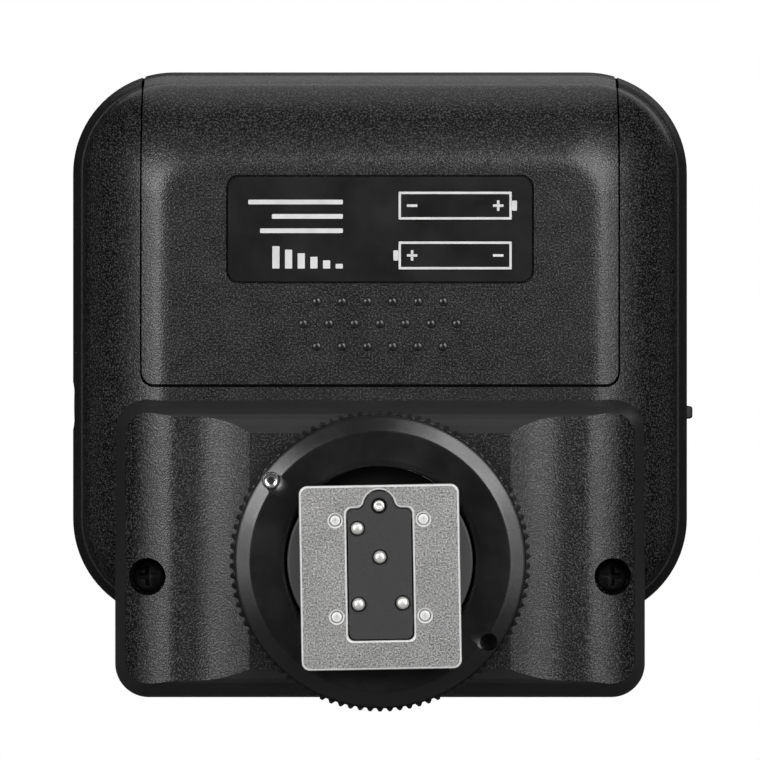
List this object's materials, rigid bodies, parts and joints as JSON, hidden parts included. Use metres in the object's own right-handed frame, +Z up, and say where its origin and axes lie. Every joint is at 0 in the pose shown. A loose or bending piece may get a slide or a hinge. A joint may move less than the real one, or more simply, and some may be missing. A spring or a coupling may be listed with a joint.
{
  "type": "wireless flash trigger",
  "caption": "Rounded-square radio flash trigger with a tilted display face, a sliding battery door underneath and a metal hot-shoe foot with a knurled lock ring.",
  "frame": {"origin": "on the lock ring's axis, in the plane of the sole of the metal foot plate", "axes": "+Z up, away from the camera the trigger stands on, with the display face on top; -Y towards the viewer, +Y towards the lens side; X across"},
  "size_m": [0.0748, 0.0758, 0.0518],
  "materials": {
    "shell_abs": "black ABS, fine spark-eroded grain",
    "ring_nylon": "black glass-filled nylon, smooth satin",
    "plated_steel": "bead-blasted nickel plate, edges polished",
    "bright_screw": "bright nickel plate",
    "gold_contact": "plated contact",
    "spring_wire": "spring steel wire",
    "contact_strip": "nickel-plated strip",
    "insert_plastic": "black moulded plastic, satin",
    "label_gloss": "smooth black label",
    "key_rubber": "dark grey coated rubber",
    "window_glass": "tinted clear window",
    "lcd_glass": "liquid crystal panel",
    "board_green": "green solder mask",
    "cell_wrap": "printed foil wrap",
    "lamp_lens": "red clear lens"
  },
  "bodies": {
    "housing": {"antenna": "gold_contact", "backlight_panel": "insert_plastic", "battery_1": "cell_wrap", "battery_2": "cell_wrap", "battery_bridge": "contact_strip", "battery_contact_1": "contact_strip", "battery_contact_2": "contact_strip", "battery_spring_1": "spring_wire", "battery_spring_2": "spring_wire", "case_screw_1": "bright_screw", "case_screw_2": "bright_screw", "contact_board": "board_green", "contact_insert": "insert_plastic", "contact_spring_1": "spring_wire", "contact_spring_2": "spring_wire", "contact_spring_3": "spring_wire", "contact_spring_4": "spring_wire", "dial_encoder": "insert_plastic", "display_window": "window_glass", "foot_block": "shell_abs", "foot_plate": "plated_steel", "foot_post": "plated_steel", "foot_screw_1": "bright_screw", "foot_screw_2": "bright_screw", "front_cover": "shell_abs", "lcd_panel": "lcd_glass", "lock_pin_spring": "spring_wire", "main_board": "board_green", "plate_screw_1": "bright_screw", "plate_screw_2": "bright_screw", "plate_screw_3": "bright_screw", "plate_screw_4": "bright_screw", "post_screw_1": "bright_screw", "post_screw_2": "bright_screw", "power_switch_body": "contact_strip", "rear_cover": "shell_abs", "status_lamp": "lamp_lens", "sync_jack": "insert_plastic", "usb_port": "contact_strip"},
    "battery_door": {"battery_door": "shell_abs", "label_plate": "label_gloss"},
    "pressure_plate": {"pressure_plate": "ring_nylon"},
    "lock_ring": {"lock_ring": "ring_nylon", "ring_stop_screw": "bright_screw"},
    "lock_pin": {"lock_pin": "plated_steel"},
    "contact_pin_1": {"contact_pin_1": "gold_contact"},
    "contact_pin_2": {"contact_pin_2": "gold_contact"},
    "contact_pin_3": {"contact_pin_3": "gold_contact"},
    "contact_pin_4": {"contact_pin_4": "gold_contact"},
    "function_key_1": {"function_key_1": "key_rubber"},
    "function_key_2": {"function_key_2": "key_rubber"},
    "function_key_3": {"function_key_3": "key_rubber"},
    "function_key_4": {"function_key_4": "key_rubber"},
    "menu_button": {"menu_button": "key_rubber"},
    "mode_button": {"mode_button": "key_rubber"},
    "test_button": {"test_button": "key_rubber"},
    "set_button": {"set_button": "key_rubber"},
    "select_dial": {"select_dial": "key_rubber"},
    "power_switch_cap": {"power_switch_cap": "key_rubber"}
  },
  "joints": [
    {"name": "door_slide", "type": "slide", "parent": "housing", "child": "battery_door", "axis": [0, 1, 0], "range_m": [0, 0.038]},
    {"name": "plate_clamp", "type": "slide", "parent": "housing", "child": "pressure_plate", "axis": [0, 0, -1], "range_m": [0, 0.0015]},
    {"name": "ring_turn", "type": "hinge", "parent": "pressure_plate", "child": "lock_ring", "pos_m": [0, 0, 0.0075], "axis": [0, 0, -1], "range_deg": [0, 270]},
    {"name": "lock_pin_slide", "type": "slide", "parent": "housing", "child": "lock_pin", "axis": [0, 0, -1], "range_m": [0, 0.0012], "deforming": ["lock_pin_spring"]},
    {"name": "contact_1_press", "type": "slide", "parent": "housing", "child": "contact_pin_1", "axis": [0, 0, 1], "range_m": [0, 0.0005], "stiffness_N_per_m": 400, "springref_m": -0.0005, "deforming": ["contact_spring_1"]},
    {"name": "contact_2_press", "type": "slide", "parent": "housing", "child": "contact_pin_2", "axis": [0, 0, 1], "range_m": [0, 0.0005], "stiffness_N_per_m": 400, "springref_m": -0.0005, "deforming": ["contact_spring_2"]},
    {"name": "contact_3_press", "type": "slide", "parent": "housing", "child": "contact_pin_3", "axis": [0, 0, 1], "range_m": [0, 0.0005], "stiffness_N_per_m": 400, "springref_m": -0.0005, "deforming": ["contact_spring_3"]},
    {"name": "contact_4_press", "type": "slide", "parent": "housing", "child": "contact_pin_4", "axis": [0, 0, 1], "range_m": [0, 0.0005], "stiffness_N_per_m": 400, "springref_m": -0.0005, "deforming": ["contact_spring_4"]},
    {"name": "function_key_1_press", "type": "slide", "parent": "housing", "child": "function_key_1", "axis": [0, 0.2357, -0.9718], "range_m": [0, 0.0005], "stiffness_N_per_m": 1000, "springref_m": -0.0005},
    {"name": "function_key_2_press", "type": "slide", "parent": "housing", "child": "function_key_2", "axis": [0, 0.2357, -0.9718], "range_m": [0, 0.0005], "stiffness_N_per_m": 1000, "springref_m": -0.0005},
    {"name": "function_key_3_press", "type": "slide", "parent": "housing", "child": "function_key_3", "axis": [0, 0.2357, -0.9718], "range_m": [0, 0.0005], "stiffness_N_per_m": 1000, "springref_m": -0.0005},
    {"name": "function_key_4_press", "type": "slide", "parent": "housing", "child": "function_key_4", "axis": [0, 0.2357, -0.9718], "range_m": [0, 0.0005], "stiffness_N_per_m": 1000, "springref_m": -0.0005},
    {"name": "menu_press", "type": "slide", "parent": "housing", "child": "menu_button", "axis": [0, 0.2357, -0.9718], "range_m": [0, 0.0005], "stiffness_N_per_m": 1000, "springref_m": -0.0005},
    {"name": "mode_press", "type": "slide", "parent": "housing", "child": "mode_button", "axis": [0, 0.2357, -0.9718], "range_m": [0, 0.0005], "stiffness_N_per_m": 1000, "springref_m": -0.0005},
    {"name": "test_press", "type": "slide", "parent": "housing", "child": "test_button", "axis": [0, 0.2357, -0.9718], "range_m": [0, 0.0005], "stiffness_N_per_m": 1000, "springref_m": -0.0005},
    {"name": "set_press", "type": "slide", "parent": "housing", "child": "set_button", "axis": [0, 0.2357, -0.9718], "range_m": [0, 0.0005], "stiffness_N_per_m": 1000, "springref_m": -0.0005},
    {"name": "dial_turn", "type": "hinge", "parent": "housing", "child": "select_dial", "pos_m": [0, 0.00406, 0.03887], "axis": [0, -0.2357, 0.9718], "continuous": true},
    {"name": "power_slide", "type": "slide", "parent": "housing", "child": "power_switch_cap", "axis": [0, 1, 0], "range_m": [0, 0.0025]}
  ],
  "couplings": [
    {"joint": "plate_clamp", "follows": "ring_turn", "m_per_rad": 0.000318},
    {"joint": "lock_pin_slide", "follows": "ring_turn", "m_per_rad": 0.000254}
  ]
}
